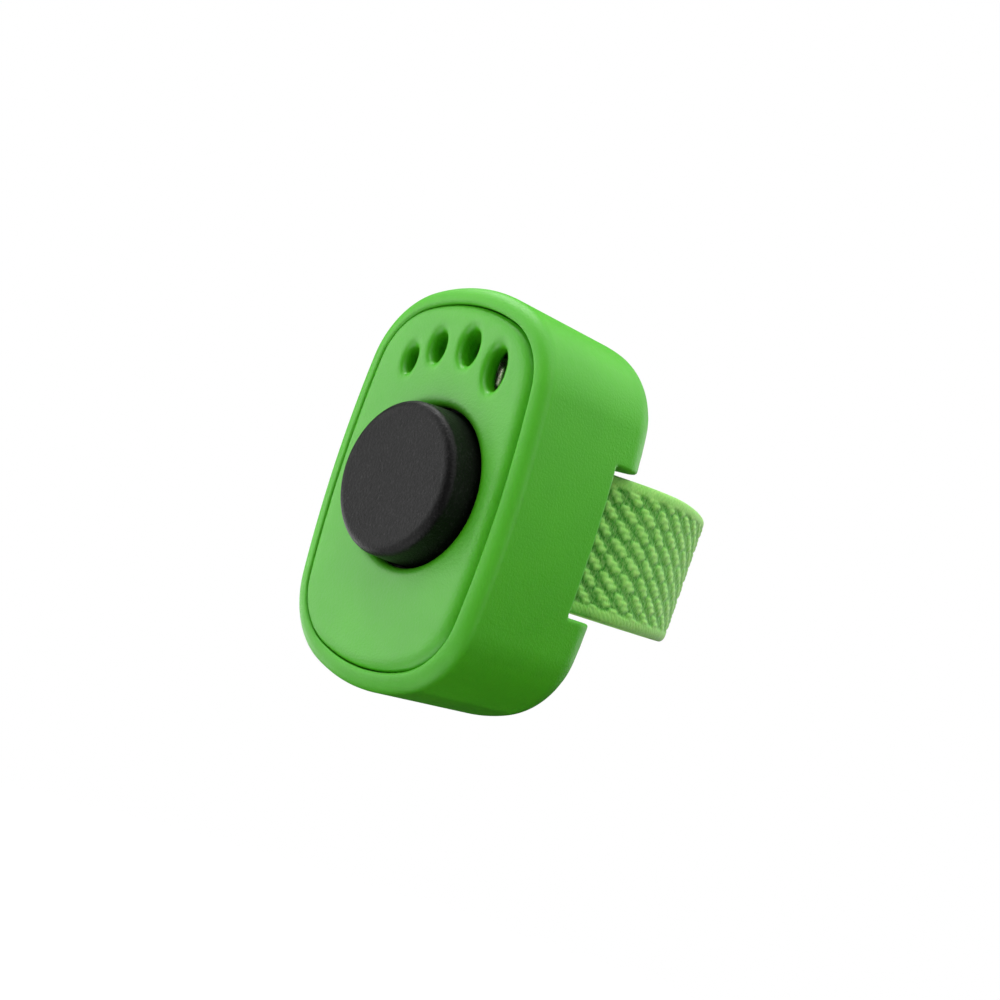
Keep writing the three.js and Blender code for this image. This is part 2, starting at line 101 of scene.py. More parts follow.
SCREW_X, SCREW_Z, SCREW_SEAT = 10.6, 12.6, 9.0
POST_RADIUS, POST_START, BOSS_RADIUS, COUNTERBORE_RADIUS = 2.9, 6.2, 1.65, 2.1
SCREW_HOLE_RADIUS = 1.3
PILOT_RADIUS, PILOT_START, PILOT_END = 1.05, 2.9, 9
FILLET = 0.5  # where a post or a boss grows out of a wall
CHANNEL_FLOOR, CHANNEL_HALF = 14.1, 8.6
SLOT_INNER, SLOT_OUTER, SLOT_HALF = 10.15, 12.3, 8.3
PLATE_FRONT, PLATE_THICK, PLATE_WIDE = 7.1, 0.4, 12.0
PLATE_SCREW_X, PLATE_SCREW_Z, PLATE_POST_RADIUS, PLATE_HOLE_RADIUS = 4.3, -15.3, 1.8, 1.15
TONGUE_TOP, TONGUE_LOW, TONGUE_CORNER = 16.5, -13, 2.5
FOOT_Z, FOOT_HALF, FOOT_WIDER = -15.18, 3.22, 1
DIMPLE_DEEP, DIMPLE_RADIUS = 0.8, 3.9
CLAMP_THICK, CLAMP_HALF_WIDE, CLAMP_HALF_HIGH, CLAMP_CORNERS = 1.5, 7.2, 2.7, 9.2
# Stiffening bead pressed forward out of the plate, behind the largest sound hole.
ROLL_X, ROLL_Y, ROLL_Z = 2.0, 5.1, 14.0
ROLL_RADIUS, ROLL_LONG = 1.5, 1.6

HEAD_RADIUS, HEAD_HIGH = 1.75, 1.3
CROSS_REACH, CROSS_HALF, CROSS_DEEP = 0.95, 0.2, 0.5
THREAD_PITCH, THREAD_ROOT, THREAD_HIGH = 0.85, 0.58, 0.22
POINT_LONG, POINT_BLUNT = 1.2, 0.3
CASE_SCREW_LONG, PLATE_SCREW_LONG = 5.9, 6.2
PIN_RADIUS, PIN_HALF, PIN_EDGE = 0.9, 8.7, 0.25

CORNERS = [(sx, sz) for sz in (1, -1) for sx in (-1, 1)]


# ---- Fields ----

def smooth_max(a, b, width):
    """The larger of two fields, blended over `width`, which rounds the edge where they meet."""
    blend = np.maximum(width - np.abs(a - b), 0) / width
    return np.maximum(a, b) + blend * blend * width / 4


def smooth_min(a, b, width):
    return -smooth_max(-a, -b, width)


def corner_centre():
    """Centre of the corner arc that touches the side arc and the end arc from inside."""
    side = Vector((HALF_WIDTH - SIDE_RADIUS, 0))
    end = Vector((0, HALF_HEIGHT - END_RADIUS))
    from_side, from_end = SIDE_RADIUS - CORNER_RADIUS, END_RADIUS - CORNER_RADIUS
    apart = (end - side).length
    along = (from_side**2 - from_end**2 + apart**2) / (2 * apart)
    direction = (end - side) / apart
    across = math.sqrt(from_side**2 - along**2)
    return side + direction * along + Vector((-direction.y, direction.x)) * across


CORNER = corner_centre()


def oval(x, z, inset=0.0):
    """Distance outside the case's four-arc oval, pulled in by `inset`."""
    x, z = np.abs(x), np.abs(z)
    side_x, end_z = HALF_WIDTH - SIDE_RADIUS, HALF_HEIGHT - END_RADIUS
    on_side = z * (CORNER.x - side_x) <= CORNER.y * (x - side_x)
    on_end = (z - end_z) * CORNER.x >= (CORNER.y - end_z) * x
    to_side = np.hypot(x - side_x, z) - SIDE_RADIUS
    to_end = np.hypot(x, z - end_z) - END_RADIUS
    to_corner = np.hypot(x - CORNER.x, z - CORNER.y) - CORNER_RADIUS
    return np.where(on_side, to_side, np.where(on_end, to_end, to_corner)) + inset


def rounded_edge(a, b, wide, deep):
    """Where both fields are negative, with their common edge rounded as a quarter ellipse, wide along a."""
    u, v = (a + wide) / wide, (b + deep) / deep
    rounding = np.hypot(np.maximum(u, 0), np.maximum(v, 0)) - 1
    return np.where((u > 0) & (v > 0), rounding * np.minimum(wide, deep), np.maximum(a, b))


def box_field(x, y, z, low, high):
    pairs = ((x, 0), (y, 1), (z, 2))
    return np.maximum.reduce([np.maximum(low[i] - v, v - high[i]) for v, i in pairs])


def rod_field(x, y, z, radius, y0, y1, cx, cz):
    return np.maximum.reduce([np.hypot(x - cx, z - cz) - radius, y0 - y, y - y1])


def toe_field(x, z, toe):
    cx, cz, wide, high, lean = toe
    turn = math.radians(-lean)
    u = (x - cx) * math.cos(turn) + (z - cz) * math.sin(turn)
    v = (z - cz) * math.cos(turn) - (x - cx) * math.sin(turn)
    return (np.hypot(u / (wide / 2), v / (high / 2)) - 1) * wide / 2


def shell_field(x, y, z):
    edge = oval(x, z)
    outside = edge + DRAFT * (y - DEPTH / 2)
    shape = np.maximum(
        rounded_edge(outside, -y, RIM_WIDE + DRAFT * DEPTH / 2, RIM_DEEP),
        rounded_edge(outside, y - DEPTH, REAR_ROUNDING, REAR_ROUNDING),
    )
    behind_channel = np.maximum(np.abs(z) - CHANNEL_HALF - FLOOR, CHANNEL_FLOOR - FLOOR - y)
    cavity = smooth_max(edge + WALL, y - DEPTH + FLOOR, 0.8)
    cavity = smooth_max(cavity, -behind_channel, 0.6)
    shell = smooth_max(shape, -cavity, 0.35)
    for sx, sz in CORNERS:
        post = rod_field(x, y, z, POST_RADIUS, POST_START, DEPTH - 1, sx * SCREW_X, sz * SCREW_Z)
        shell = smooth_min(shell, np.maximum(post, shape + 0.3), FILLET)
    recess = smooth_max(np.abs(z) - CHANNEL_HALF, CHANNEL_FLOOR - y, 0.5)
    shell = smooth_max(shell, -recess, 0.45)
    slot = box_field(
        np.abs(x), y, z,
        (SLOT_INNER, CHANNEL_FLOOR - FLOOR - 1, -SLOT_HALF),
        (SLOT_OUTER, CHANNEL_FLOOR + 1, SLOT_HALF),
    )
    shell = smooth_max(shell, -slot, 0.4)
    for sx, sz in CORNERS:
        around = (sx * SCREW_X, sz * SCREW_Z)
        bore = rod_field(x, y, z, COUNTERBORE_RADIUS, SCREW_SEAT, DEPTH + 2, *around)
        hole = rod_field(x, y, z, SCREW_HOLE_RADIUS, POST_START - 1, SCREW_SEAT + 1, *around)
        shell = smooth_max(shell, -bore, 0.5)
        shell = np.maximum(shell, -hole)
    return shell


def panel_posts():
    """Centre, radius and end of each post behind the panel."""
    bosses = [(sx * SCREW_X, sz * SCREW_Z, BOSS_RADIUS, POST_START - FIT_GAP) for sx, sz in CORNERS]
    plate_end = PLATE_FRONT - FIT_GAP
    posts = [(side * PLATE_SCREW_X, PLATE_SCREW_Z, PLATE_POST_RADIUS, plate_end) for side in (-1, 1)]
    return bosses + posts


def panel_field(x, y, z):
    edge = oval(x + PANEL_SHIFT, z, WALL + SEAM)
    across = np.clip(x / PANEL_HALF_WIDTH, -1, 1)
    wide = PANEL_EDGE_WIDE + PANEL_EDGE_WIDER * across
    deep = PANEL_EDGE_DEEP + PANEL_EDGE_DEEPER * across
    panel = rounded_edge(edge, -y, wide, deep)
    panel = smooth_max(panel, y - PANEL_THICK, PANEL_BACK_EDGE)
    for cx, cz, radius, end in panel_posts():
        post = rod_field(x, y, z, radius, PANEL_THICK - 1, end, cx, cz)
        panel = smooth_min(panel, np.maximum(post, edge), FILLET)
        panel = np.maximum(panel, -rod_field(x, y, z, PILOT_RADIUS, PILOT_START, PILOT_END, cx, cz))
    panel = smooth_max(panel, HOLE_RADIUS - np.hypot(x, z), HOLE_ROUNDING)
    for toe in TOES[:-1]:
        collar = np.maximum.reduce([toe_field(x, z, toe) - COLLAR_THICK, PANEL_THICK - 1 - y, y - COLLAR_END])
        panel = smooth_min(panel, collar, COLLAR_FILLET)
    for toe in TOES:
        panel = smooth_max(panel, -toe_field(x, z, toe), TOE_ROUNDING)
    return panel


def button_field(x, y, z):
    r = np.hypot(x, z)
    top = -BUTTON_PROUD
    taper = np.clip(-y / (BUTTON_PROUD - BUTTON_EDGE_DEEP), 0, 1)
    wall = r - BUTTON_RADIUS + (BUTTON_RADIUS - BUTTON_TOP_RADIUS) * taper
    dish = BUTTON_DISH * np.clip(1 - (r / BUTTON_DISH_RADIUS) ** 2, 0, 1)
    cap = rounded_edge(wall, top + dish - y, BUTTON_EDGE_WIDE, BUTTON_EDGE_DEEP)
    cap = smooth_max(cap, y - BUTTON_SKIRT_END, 0.2)
    hollow = np.maximum(r - BUTTON_RADIUS + BUTTON_SKIRT_THICK, top + BUTTON_CAP_THICK - y)
    hollow = smooth_max(hollow, STEM_RADIUS - r, 0.4)
    cap = smooth_max(cap, -hollow, 0.3)
    ball = np.hypot(r, np.maximum(y - STEM_END + STEM_RADIUS, 0)) - STEM_RADIUS
    cap = np.minimum(cap, np.maximum(ball, top + 1 - y))
    start = PANEL_THICK + FIT_GAP
    lug = np.maximum.reduce([
        r - LUG_REACH, BUTTON_RADIUS - BUTTON_SKIRT_THICK - r,
        np.abs(x) - LUG_WIDE / 2, start - y, y - start - LUG_THICK,
    ])
    return smooth_min(cap, lug, 0.15)


def clamp_field(x, y, z):
    front = PLATE_FRONT + PLATE_THICK + FIT_GAP
    bar = box_field(
        x, y, z,
        (-CLAMP_HALF_WIDE, front, PLATE_SCREW_Z - CLAMP_HALF_HIGH),
        (CLAMP_HALF_WIDE, front + CLAMP_THICK, PLATE_SCREW_Z + CLAMP_HALF_HIGH),
    )
    bar = smooth_max(bar, np.abs(x) + np.abs(z - PLATE_SCREW_Z) - CLAMP_CORNERS, 0.8)
    for side in (-1, 1):
        bar = smooth_max(bar, PLATE_HOLE_RADIUS - np.hypot(x - side * PLATE_SCREW_X, z - PLATE_SCREW_Z), 0.3)
    return bar


def screw_field(cx, cz, seat, length):
    """Pan-head self-tapping screw driven towards the front, its head resting at depth `seat`."""
    def field(x, y, z):
        dx, dz = x - cx, z - cz
        r = np.hypot(dx, dz)
        head = rounded_edge(r - HEAD_RADIUS, y - seat - HEAD_HIGH, 0.9, 0.75)
        head = smooth_max(head, seat - y, 0.15)
        arm = np.minimum(
            np.maximum(np.abs(dx) - CROSS_REACH, np.abs(dz) - CROSS_HALF),
            np.maximum(np.abs(dz) - CROSS_REACH, np.abs(dx) - CROSS_HALF),
        )
        floor = seat + CROSS_DEEP + CROSS_DEEP * np.clip(r / CROSS_REACH, 0, 1)
        head = smooth_max(head, -np.maximum(arm, floor - y), 0.1)
        turn = np.arctan2(dz, dx) / (2 * math.pi) + y / THREAD_PITCH
        ridge = 1 - np.abs(2 * (turn - np.floor(turn)) - 1)
        taper = np.clip((y - seat + length) / POINT_LONG, POINT_BLUNT, 1)
        shank = r - (THREAD_ROOT + THREAD_HIGH * ridge**2) * taper
        shank = np.maximum.reduce([shank, seat - length - y, y - seat - 0.2])
        return np.minimum(head, shank)
    return field


def plate_field(x, y, z):
    """Sprung sheet with a stamped dimple, wider at the clamped end, with two screw holes."""
    r = np.hypot(x, z)
    dimple = DIMPLE_DEEP * (0.5 + 0.5 * np.cos(math.pi * np.clip(r / DIMPLE_RADIUS, 0, 1)))
    sheet = np.abs(y - PLATE_FRONT - PLATE_THICK / 2 + dimple) - PLATE_THICK / 2
    middle = (TONGUE_TOP + TONGUE_LOW) / 2
    half = (TONGUE_TOP - TONGUE_LOW) / 2
    past_x = np.maximum(np.abs(x) - PLATE_WIDE / 2 + TONGUE_CORNER, 0)
    past_z = np.maximum(np.abs(z - middle) - half + TONGUE_CORNER, 0)
    tongue = np.hypot(past_x, past_z) - TONGUE_CORNER
    foot = np.maximum(np.abs(x) - PLATE_WIDE / 2 - FOOT_WIDER, np.abs(z - FOOT_Z) - FOOT_HALF)
    sheet = smooth_max(sheet, smooth_min(tongue, foot, 0.6), 0.08)
    for side in (-1, 1):
        sheet = np.maximum(sheet, PLATE_HOLE_RADIUS - np.hypot(x - side * PLATE_SCREW_X, z - PLATE_SCREW_Z))
    ahead = np.minimum(y - ROLL_Y, 0)
    past_end = np.maximum(np.abs(z - ROLL_Z) - ROLL_LONG / 2, 0)
    roll = np.hypot(np.hypot(x - ROLL_X, ahead), past_end) - ROLL_RADIUS
    return smooth_min(sheet, np.maximum(roll, y - PLATE_FRONT - PLATE_THICK / 2), 0.3)


def pin_field(side):
    def field(x, y, z):
        r = np.hypot(x - side * EYE_X, y - EYE_Y)
        return rounded_edge(r - PIN_RADIUS, np.abs(z) - PIN_HALF, PIN_EDGE, PIN_EDGE)
    return field


# ---- Meshes from fields ----

def slope_of(field, points, step=0.004):
    """Gradient of a field at an array of points, by central differences."""
    slope = np.empty_like(points)
    for axis in range(3):
        shift = np.zeros(3)
        shift[axis] = step
        slope[:, axis] = (field(*(points + shift).T) - field(*(points - shift).T)) / (2 * step)
    return slope


def cell_points(value, axes, cell):
    """Points in the cells that the surface crosses, each the mean of the crossings of its cell's edges."""
    inside = value < 0
    corners = [(i, j, k) for i in (0, 1) for j in (0, 1) for k in (0, 1)]
    size = np.array(value.shape) - 1
    filled = sum(inside[i:i + size[0], j:j + size[1], k:k + size[2]].astype(np.int8) for i, j, k in corners)
    cells = np.argwhere((filled > 0) & (filled < 8))
    total, count = np.zeros((len(cells), 3)), np.zeros(len(cells))
    for axis in range(3):
        for start in (c for c in corners if c[axis] == 0):
            a = cells + start
            b = a.copy()
            b[:, axis] += 1
            va, vb = value[tuple(a.T)], value[tuple(b.T)]
            cross = (va < 0) != (vb < 0)
            t = np.where(cross, va / np.where(cross, va - vb, 1), 0)
            point = a.astype(float)
            point[:, axis] += t
            total[cross] += point[cross]
            count[cross] += 1
    origin = np.array([a[0] for a in axes])
    index = np.full(tuple(size), -1, np.int64)
    index[tuple(cells.T)] = np.arange(len(cells))
    return origin + total / count[:, None] * cell, index


def cell_faces(value, index):
    """Quads round every grid edge that the surface crosses, facing out of the solid."""
    inside = value < 0
    faces = []
    for axis in range(3):
        turned = np.moveaxis(inside, (axis, (axis + 1) % 3, (axis + 2) % 3), (0, 1, 2))
        ids = np.moveaxis(index, (axis, (axis + 1) % 3, (axis + 2) % 3), (0, 1, 2))
        here, there = turned[:-1, 1:-1, 1:-1], turned[1:, 1:-1, 1:-1]
        quads = np.stack([ids[:, :-1, :-1], ids[:, 1:, :-1], ids[:, 1:, 1:], ids[:, :-1, 1:]], -1)
        faces.append(quads[here & ~there])
        faces.append(quads[~here & there][:, ::-1])
    return np.concatenate(faces)


def to_frame(points):
    """Case millimetres to the frame's metres."""
    return (np.asarray(points, float) + (0, FRONT_Y, 0)) * MM


def new_piece(name, points, faces, normals=None):
    mesh = bpy.data.meshes.new(name)
    mesh.from_pydata(to_frame(points).tolist(), [], [list(map(int, f)) for f in faces])
    mesh.shade_smooth()
    if normals is not None:
        mesh.normals_split_custom_set_from_vertices(normals.tolist())
    mesh.validate()
    piece = bpy.data.objects.new(name, mesh)
    bpy.context.scene.collection.objects.link(piece)
    return piece


def field_piece(name, field, low, high, cell):
    """The zero surface of a field as a piece: a quad per crossing, every point settled on to the surface."""
    axes = [np.arange(a - 2 * cell, b + 3 * cell, cell) for a, b in zip(low, high)]
    value = field(*np.meshgrid(*axes, indexing="ij"))
    points, index = cell_points(value, axes, cell)
    faces = cell_faces(value, index)
    for _ in range(5):
        slope = slope_of(field, points)
        move = field(*points.T)[:, None] * slope / np.maximum((slope**2).sum(1), 0.05)[:, None]
        points -= np.clip(move, -cell / 2, cell / 2)
    slope = slope_of(field, points, cell / 3)
    normals = slope / np.maximum(np.linalg.norm(slope, axis=1), 1e-9)[:, None]
    return new_piece(name, points, faces, normals)


# ---- Finger strap ----

STRAP_HALF = (strap_high.z - strap_low.z) / 2 / MM
STRAP_THICK = 1.5
STRAP_WIDEST_X = strap_high.x / MM - STRAP_THICK / 2
STRAP_REAR_Y = strap_high.y / MM - FRONT_Y - STRAP_THICK / 2
STRAP_ROOT_X, STRAP_LEAVES_Y, STRAP_WIDEST_Y = 11.25, 14.5, 23.0
EYE_X, EYE_Y = 9.3, 8.0
EYE_START = math.radians(95)
# Lengths of the handles of the curve that the strap follows.
LEAVING, BEFORE_WIDEST, AFTER_WIDEST, AT_REAR = 3.5, 4.1, 8.9, 8.4
WEAVE_STEP, WEAVE_ROWS = 0.14, 131
RIB_SPACING = 1.95  # from one diagonal rib to the next across the strap
EAR_STEP = np.array((2.31, 1.68))  # one ear of yarn to the next on a rib: along the strap, and down it
STRANDS_IN_EAR = 3
EAR_TILT = 0.04
EAR_HALF_WIDE, EAR_HALF_LONG = 0.56, 0.49  # in millimetres, and as a share of the step
SELVEDGE_WIDE, SELVEDGE_FADE, SELVEDGE_ROUNDING, SELVEDGE_LOOP = 1.5, 0.5, 0.9, 0.54
CORE_THICK, WEAVE_THICK, FREE_THICKER = 0.28, 0.30, 0.19  # half thicknesses
REAR_LEAN, REAR_SLUMP = 0.055, 0.8


def bezier(a, b, c, d, count):
    t = np.linspace(0, 1, count)[:, None]
    return (1 - t)**3 * a + 3 * (1 - t)**2 * t * b + 3 * (1 - t) * t**2 * c + t**3 * d


def strap_line():
    """Centre line of the strap from one folded end to the other, at even steps, with its outward normals."""
    turn = np.linspace(EYE_START, 2 * math.pi, 60)[:, None]
    radius = STRAP_ROOT_X - EYE_X
    eye = np.array((EYE_X, EYE_Y)) + radius * np.hstack([np.cos(turn), np.sin(turn)])
    leaves = np.array((STRAP_ROOT_X, STRAP_LEAVES_Y))
    widest = np.array((STRAP_WIDEST_X, STRAP_WIDEST_Y))
    rear = np.array((0, STRAP_REAR_Y))
    flank = bezier(leaves, leaves + (0, LEAVING), widest - (0, BEFORE_WIDEST), widest, 120)
    bow = bezier(widest, widest + (0, AFTER_WIDEST), rear + (AT_REAR, 0), rear, 240)
    half = np.vstack([eye, leaves[None], flank[1:], bow[1:]])
    line = np.vstack([half, half[-2::-1] * (-1, 1)])
    run = np.concatenate([[0], np.cumsum(np.hypot(*np.diff(line, axis=0).T))])
    steps = np.arange(0, run[-1], WEAVE_STEP)
    even = np.stack([np.interp(steps, run, line[:, i]) for i in (0, 1)], 1)
    along = np.gradient(even, axis=0)
    along /= np.linalg.norm(along, axis=1)[:, None]
    return steps, even, np.stack([along[:, 1], -along[:, 0]], 1)


def ribs(s, t, seed):
    """Height, from 0 to 1, of the weave at a place on the strap: ears of yarn along slanted ribs."""
    random = np.random.default_rng(seed).random((4, 997))
    lean = math.atan2(EAR_STEP[1], EAR_STEP[0])
    ear_long = math.hypot(*EAR_STEP)
    rib_pitch = RIB_SPACING * math.cos(lean)
    rib_shift = RIB_SPACING * math.sin(lean)
    along = s * math.cos(lean) + t * math.sin(lean)
    across = t * math.cos(lean) - s * math.sin(lean)
    best = 0.15 + 0.07 * np.cos(2 * math.pi * across / (rib_pitch / 3))
    nearest = np.round(across / rib_pitch)
    for beside in (-1, 0, 1):
        rib = nearest + beside
        middle = np.round((along - rib * rib_shift) / ear_long)
        for ahead in (-1, 0, 1):
            ear = middle + ahead
            pick = np.mod(rib * 57 + ear * 31, 997).astype(int)
            u = along - rib * rib_shift - ear * ear_long + (random[0][pick] - 0.5) * 0.24
            v = across - rib * rib_pitch + (random[1][pick] - 0.5) * 0.16
            tilt = EAR_TILT + (random[2][pick] - 0.5) * 0.16
            turned = u * math.cos(EAR_TILT) + v * np.sin(tilt)
            v = v * math.cos(EAR_TILT) - u * np.sin(tilt)
            u = turned
            strand = (u - 0.45 * np.abs(v)) / (ear_long / STRANDS_IN_EAR) + 0.25 * np.tanh(v / 0.12)
            lobe = np.cos(2 * math.pi * (strand + 0.3 * random[3][pick]))
            wide = EAR_HALF_WIDE * (0.94 + 0.25 * u / ear_long + 0.15 * lobe)
            body = np.maximum(1 - (u / (ear_long * EAR_HALF_LONG))**4 - (v / wide)**2, 0)
            high = 0.86 + 0.10 * (random[3][pick] - 0.5)
            best = np.maximum(best, high * np.sqrt(body) * (0.86 + 0.14 * lobe))
    return best


def selvedge(s, t):
    """Height of the finer loops of yarn that bind each edge."""
    lean = s - 0.8 * np.abs(t)
    return 0.50 + 0.13 * np.abs(np.sin(math.pi * lean / SELVEDGE_LOOP))**0.7


def smooth_step(value):
    value = np.clip(value, 0, 1)
    return value * value * (3 - 2 * value)


def strap_sides():
    """The strap's ring of points at each step along it, the weave's height at each, and its flat length."""
    steps, line, outward = strap_line()
    across = np.linspace(-1, 1, WEAVE_ROWS)
    t = np.sin(across * math.pi / 2 * 0.92) / math.sin(math.pi / 2 * 0.92) * STRAP_HALF
    s_grid, t_grid = np.meshgrid(steps, t, indexing="ij")
    edge = smooth_step((np.abs(t_grid) - STRAP_HALF + SELVEDGE_WIDE) / SELVEDGE_FADE)
    to_edge = np.clip((np.abs(t_grid) - STRAP_HALF + SELVEDGE_ROUNDING) / SELVEDGE_ROUNDING, 0, 1)
    body = np.sqrt(np.clip(1 - to_edge**2, 0, 1))
    free = np.clip((line[:, 1] - STRAP_LEAVES_Y - 0.4) / 1.2, 0, 1)[:, None]
    drawn = np.clip((line[:, 1] - 17) / 16, 0, 1)[:, None]  # flatter ribs where the strap rounds the rear
    sides = []
    for sign, seed in ((1, 5), (-1, 11)):
        relief = ribs(s_grid, t_grid, seed) * (1 - edge) + selvedge(s_grid, t_grid) * edge
        relief = relief + drawn * (0.66 - relief) * 0.5
        thick = (CORE_THICK + (WEAVE_THICK + FREE_THICKER * free) * relief) * body
        reach = sign * thick
        pos = np.stack([
            line[:, 0:1] + outward[:, 0:1] * reach,
            line[:, 1:2] + outward[:, 1:2] * reach,
            np.broadcast_to(-t_grid, reach.shape),
        ], -1)
        sides.append((pos, relief))
    (outer, outer_relief), (inner, inner_relief) = sides
    ring = np.concatenate([outer, inner[:, -2:0:-1]], 1)
    relief = np.concatenate([outer_relief, inner_relief[:, -2:0:-1]], 1)
    return ring, relief, steps[-1]


def strap_piece():
    ring, relief, length = strap_sides()
    rear = np.clip((ring[:, :, 1] - CHANNEL_FLOOR) / (STRAP_REAR_Y - CHANNEL_FLOOR), 0, 1)
    ring[:, :, 1] += REAR_LEAN * ring[:, :, 2] * rear**2
    slump = smooth_step((rear - 0.42) / 0.5)
    ring[:, :, 2] -= REAR_SLUMP * slump * np.clip(ring[:, :, 2] / STRAP_HALF, 0, 1)**2
    rows, around = ring.shape[:2]
    ids = np.arange(rows * around).reshape(rows, around)
    nxt = np.roll(ids, -1, 1)
    quads = np.stack([ids[:-1], ids[1:], nxt[1:], nxt[:-1]], -1).reshape(-1, 4)
    caps = [list(ids[0]), list(ids[-1][::-1])]
    piece = new_piece("finger_strap_webbing", ring.reshape(-1, 3), quads.tolist() + caps)
    heights = piece.data.attributes.new("relief", "FLOAT", "POINT")
    heights.data.foreach_set("value", relief.reshape(-1).astype(np.float32))
    return piece, length


# ---- Node materials ----

class Nodes:
    """Short way to build a material: nodes by type, values and links by socket name."""

    def __init__(self, name):
        self.material = bpy.data.materials.new(name)
        self.material.use_nodes = True
        self.tree = self.material.node_tree
        self.shader = self.tree.nodes["Principled BSDF"]
        coordinates = self.add("ShaderNodeTexCoord")
        self.place = coordinates.outputs["Object"]

    def add(self, kind, inputs=None, **settings):
        node = self.tree.nodes.new(kind)
        for key, value in settings.items():
            setattr(node, key, value)
        for key, value in (inputs or {}).items():
            self.set(node.inputs[key], value)
        return node

    def set(self, socket, value):
        if isinstance(value, bpy.types.NodeSocket):
            self.tree.links.new(value, socket)
        else:
            socket.default_value = value

    def noise(self, per_mm, detail=3.0, roughness=0.5, place=None):
        inputs = {"Vector": place or self.place, "Scale": per_mm / MM}
        inputs.update(Detail=detail, Roughness=roughness)
        return self.add("ShaderNodeTexNoise", inputs).outputs["Fac"]

    def ramp(self, value, low, high, out_low, out_high):
        inputs = {"Value": value, "From Min": low, "From Max": high}
        inputs.update({"To Min": out_low, "To Max": out_high})
        return self.add("ShaderNodeMapRange", inputs).outputs["Result"]

    def mix(self, factor, a, b):
        node = self.add("ShaderNodeMix", data_type="RGBA")
        self.set(node.inputs["Factor"], factor)
        self.set(node.inputs["A"], a)
        self.set(node.inputs["B"], b)
        return node.outputs["Result"]

    def math(self, operation, a, b=0.0):
        node = self.add("ShaderNodeMath", operation=operation)
        self.set(node.inputs[0], a)
        self.set(node.inputs[1], b)
        return node.outputs[0]

    def bump(self, height, distance_mm, strength=1.0, normal=None):
        inputs = {"Height": height, "Distance": distance_mm * MM, "Strength": strength}
        if normal is not None:
            inputs["Normal"] = normal
        return self.add("ShaderNodeBump", inputs).outputs["Normal"]

    def finish(self, **inputs):
        for key, value in inputs.items():
            self.set(self.shader.inputs[key.replace("_", " ")], value)
        return self.material


def colour(r, g, b):
    return (r, g, b, 1.0)


def green_plastic(name, grain_mm, roughness):
    """Satin moulded plastic, slightly translucent, with a fine mould texture and faint flow variation."""
    n = Nodes(name)
    flow = n.ramp(n.noise(0.12, 2), 0.35, 0.65, 0.0, 1.0)
    grain = n.noise(3.6, 2, 0.6)
    orange_peel = n.noise(1.3, 2, 0.5)
    normal = n.bump(orange_peel, 0.010, 0.5, n.bump(grain, grain_mm, 0.8))
    rough = n.ramp(n.noise(0.8, 4, 0.6), 0.3, 0.7, roughness, roughness + 0.08)
    n.shader.inputs["Subsurface Radius"].default_value = (0.35, 1.0, 0.25)
    return n.finish(
        Base_Color=n.mix(flow, colour(0.064, 0.44, 0.004), colour(0.071, 0.47, 0.0045)),
        Roughness=rough,
        Normal=normal,
        Subsurface_Weight=0.15,
        Subsurface_Scale=0.4 * MM,
        IOR=1.57,
    )


def black_plastic():
    """Matte black moulding with spark-eroded grain, pale specks of dust and a few fine scratches."""
    n = Nodes("matte_black_plastic")
    grain = n.noise(3.4, 3, 0.65)
    coarse = n.noise(1.6, 2, 0.5)
    drawn = {"Vector": n.place, "Rotation": (0, 0.7, 0), "Scale": (1, 1, 0.06)}
    scratch = n.noise(2.4, 1, 0.4, n.add("ShaderNodeMapping", drawn).outputs["Vector"])
    scratch = n.ramp(n.math("ABSOLUTE", n.math("SUBTRACT", scratch, 0.5)), 0.0, 0.006, 1.0, 0.0)
    patch = n.ramp(n.noise(0.22, 2), 0.52, 0.62, 0.0, 1.0)
    scratch = n.math("MULTIPLY", scratch, patch)
    speck = n.ramp(n.noise(3.6, 1, 0.3), 0.60, 0.72, 0.0, 1.0)
    pale = n.math("ADD", n.math("MULTIPLY", scratch, 0.30), n.math("MULTIPLY", speck, 0.22))
    uneven = n.ramp(coarse, 0.3, 0.7, 0, 1)
    base = n.mix(uneven, colour(0.0012, 0.0012, 0.0012), colour(0.0025, 0.0025, 0.0025))
    return n.finish(
        Base_Color=n.mix(pale, base, colour(0.05, 0.05, 0.05)),
        Roughness=n.ramp(grain, 0.3, 0.7, 0.36, 0.50),
        Normal=n.bump(grain, 0.085, 0.9, n.bump(scratch, -0.03, 0.8)),
        Specular_IOR_Level=0.18,
    )


def elastic_webbing():
    """Woven elastic: pale yarn on the tips, painted shade that darkens it to deep green in the gaps by the
    weave's height, fine filaments along the yarn.
    """
    n = Nodes("knobbly_elastic_webbing")
    relief = n.add("ShaderNodeAttribute", attribute_name="relief").outputs["Fac"]
    drawn = {"Vector": n.place, "Rotation": (0.9, 0, 0), "Scale": (1, 1, 0.22)}
    fibre = n.noise(7.0, 2, 0.6, n.add("ShaderNodeMapping", drawn).outputs["Vector"])
    blotch = n.noise(0.9, 2)
    high = n.mix(n.ramp(blotch, 0.3, 0.7, 0, 1), colour(0.30, 0.74, 0.12), colour(0.38, 0.80, 0.18))
    # Painted shade: where the weave's relief is low, in the gaps between the ears of yarn, the colour is
    # mixed down to a near-black green, and the relief blends the pale yarn into that painted shade.
    low = n.mix(n.ramp(relief, 0.0, 0.35, 0, 1), colour(0.008, 0.14, 0.004), colour(0.060, 0.40, 0.020))
    base = n.mix(n.ramp(relief, 0.25, 0.75, 0, 1), low, high)
    base = n.mix(n.ramp(fibre, 0.35, 0.65, 0.0, 0.35), base, colour(0.50, 0.86, 0.27))
    return n.finish(
        Base_Color=base,
        Roughness=0.85,
        Normal=n.bump(fibre, 0.08, 0.8),
        Specular_IOR_Level=0.25,
        Sheen_Weight=0.25,
        Sheen_Roughness=0.5,
        Subsurface_Weight=0.12,
        Subsurface_Scale=0.5 * MM,
    )


